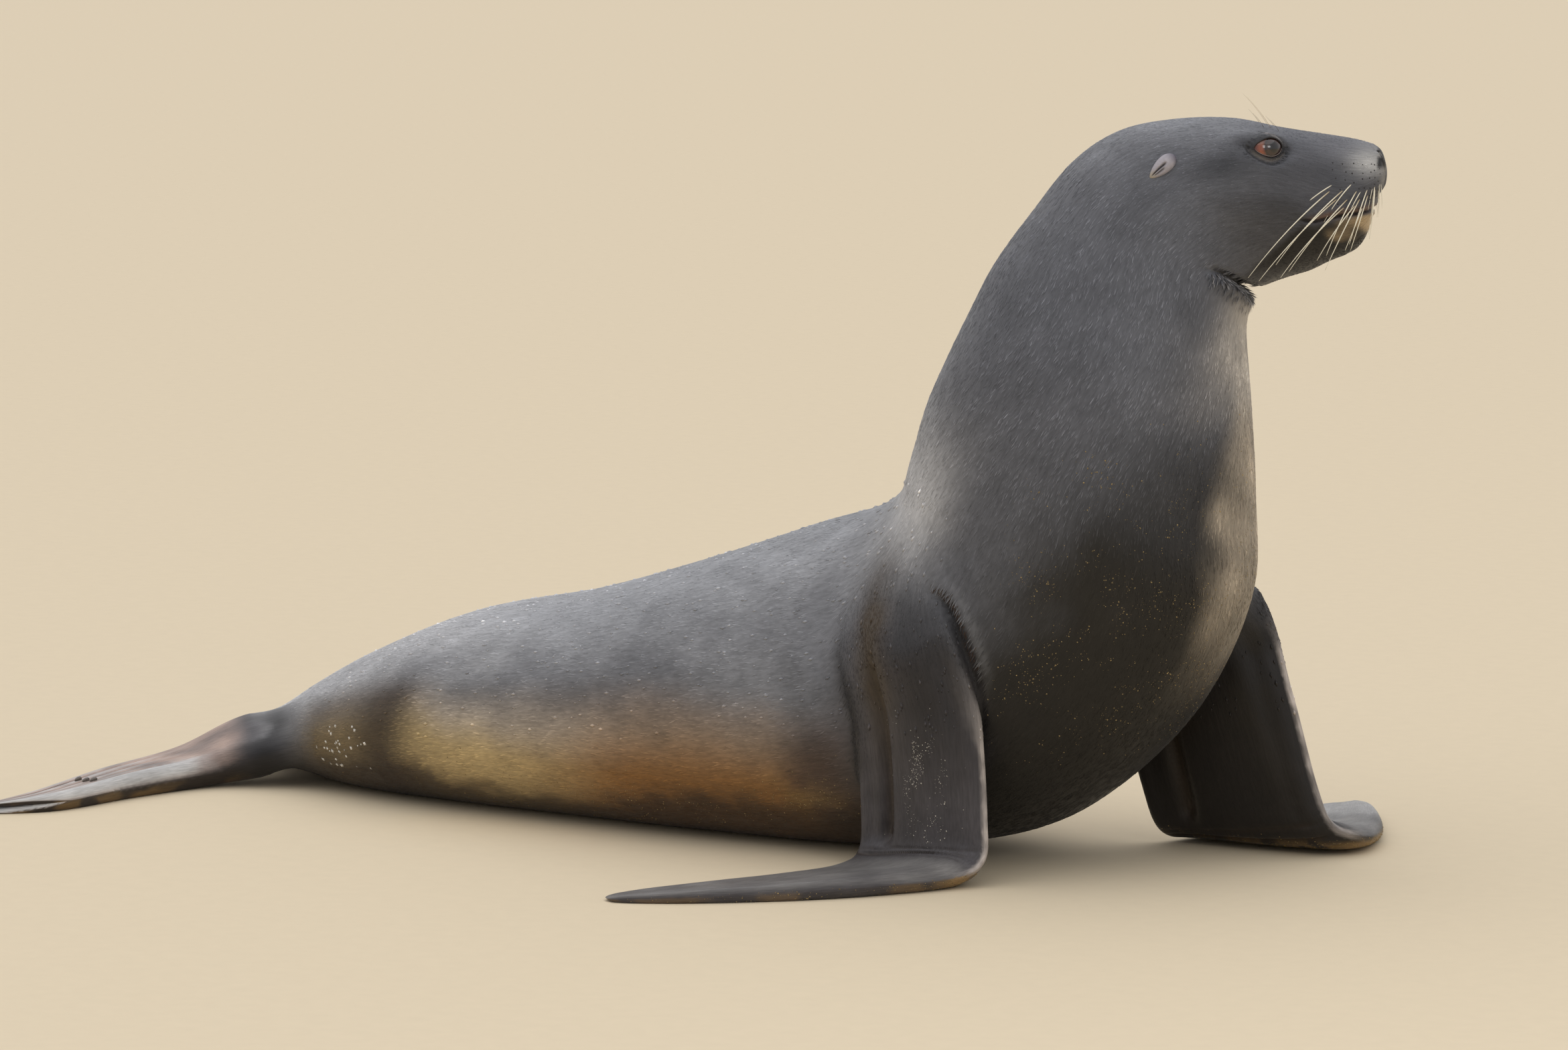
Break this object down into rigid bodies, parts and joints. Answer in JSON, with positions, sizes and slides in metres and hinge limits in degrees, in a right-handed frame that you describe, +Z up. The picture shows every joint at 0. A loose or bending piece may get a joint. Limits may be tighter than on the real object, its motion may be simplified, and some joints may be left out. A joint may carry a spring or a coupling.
{
  "type": "sea lion",
  "caption": "Still, life-size sea lion with a short dark coat that rests on its belly and flippers, its forequarters raised and its head turned to the left.",
  "frame": {"origin": "on the floor, in the flat underside of the belly", "axes": "+X to the animal's front, +Y to its left, +Z up; the head is turned 35 degrees to the left"},
  "size_m": [1.783, 1.192, 0.9641],
  "materials": {
    "coat": "satin",
    "belly_coat": "satin",
    "flipper_skin": "satin",
    "ear_skin": "satin",
    "eye": "gloss",
    "claw": "satin"
  },
  "bodies": {
    "root": {"tail": "coat", "rump": "belly_coat", "belly": "belly_coat", "chest": "coat", "neck": "coat", "head": "coat", "eye_left": "eye", "eye_right": "eye", "ear_left": "ear_skin", "ear_right": "ear_skin", "fore_flipper_left": "flipper_skin", "fore_flipper_right": "flipper_skin", "hind_flipper_left": "flipper_skin", "hind_flipper_right": "flipper_skin", "claw_left_2": "claw", "claw_left_3": "claw", "claw_left_4": "claw", "claw_right_2": "claw", "claw_right_3": "claw", "claw_right_4": "claw"}
  },
  "joints": []
}
